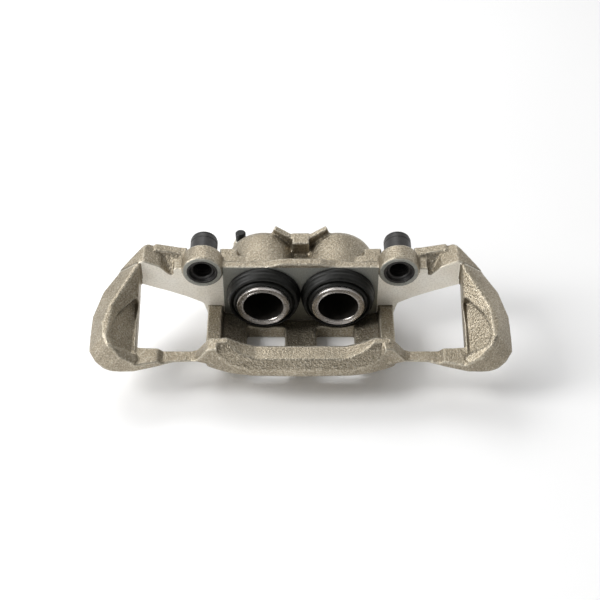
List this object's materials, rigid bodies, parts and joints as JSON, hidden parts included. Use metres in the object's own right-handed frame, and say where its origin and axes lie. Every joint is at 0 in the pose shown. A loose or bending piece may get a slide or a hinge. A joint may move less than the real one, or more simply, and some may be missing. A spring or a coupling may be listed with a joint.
{
  "type": "brake caliper",
  "caption": "Frame-type floating disc brake caliper with twin hollow pistons, dust boots, rubber guide bushes, bleed screw and a ring-shaped outboard frame.",
  "frame": {"origin": "midway between the two guide bores, in the plane of the machined face around the dust boots, where the bush bores begin", "axes": "+X along the wheel's tangent from guide to guide, +Y inboard along the piston axes, +Z towards the wheel's centre"},
  "size_m": [0.357, 0.1475, 0.0935],
  "materials": {
    "casting": "sand-cast, with a pale metallic anti-rust coating",
    "piston_steel": "ground and plated",
    "seal_rubber": "smooth",
    "boot_rubber": "semi-gloss moulded",
    "ring_steel": "pressed",
    "bush_rubber": "semi-gloss moulded",
    "cap_plastic": "moulded",
    "bleed_steel": "zinc plated",
    "bleed_rubber": "matte moulded"
  },
  "bodies": {
    "frame": {"housing": "casting", "piston_seal_left": "seal_rubber", "piston_seal_right": "seal_rubber", "dust_boot_left": "boot_rubber", "dust_boot_right": "boot_rubber", "boot_ring_left": "ring_steel", "boot_ring_right": "ring_steel", "guide_bush_left": "bush_rubber", "guide_bush_right": "bush_rubber"},
    "left_piston": {"piston_left": "piston_steel"},
    "right_piston": {"piston_right": "piston_steel"},
    "left_cap": {"guide_cap_left": "cap_plastic"},
    "right_cap": {"guide_cap_right": "cap_plastic"},
    "bleeder": {"bleed_screw": "bleed_steel"},
    "bleeder_cap": {"bleed_cap": "bleed_rubber"}
  },
  "joints": [
    {"name": "piston_left_slide", "type": "slide", "parent": "frame", "child": "left_piston", "axis": [0, -1, 0], "range_m": [-0.0095, 0.018], "deforming": ["dust_boot_left"]},
    {"name": "piston_right_slide", "type": "slide", "parent": "frame", "child": "right_piston", "axis": [0, -1, 0], "range_m": [-0.0095, 0.018], "deforming": ["dust_boot_right"]},
    {"name": "bleed_screw_turn", "type": "hinge", "parent": "frame", "child": "bleeder", "pos_m": [-0.054, 0.0565, -0.026], "axis": [0, 0, 1], "range_deg": [0, 180]},
    {"name": "bleed_cap_pull", "type": "slide", "parent": "bleeder", "child": "bleeder_cap", "axis": [0, 0, 1], "range_m": [0, 0.012]},
    {"name": "guide_cap_left_pull", "type": "slide", "parent": "frame", "child": "left_cap", "axis": [0, 1, 0], "range_m": [0, 0.012]},
    {"name": "guide_cap_right_pull", "type": "slide", "parent": "frame", "child": "right_cap", "axis": [0, 1, 0], "range_m": [0, 0.012]}
  ]
}
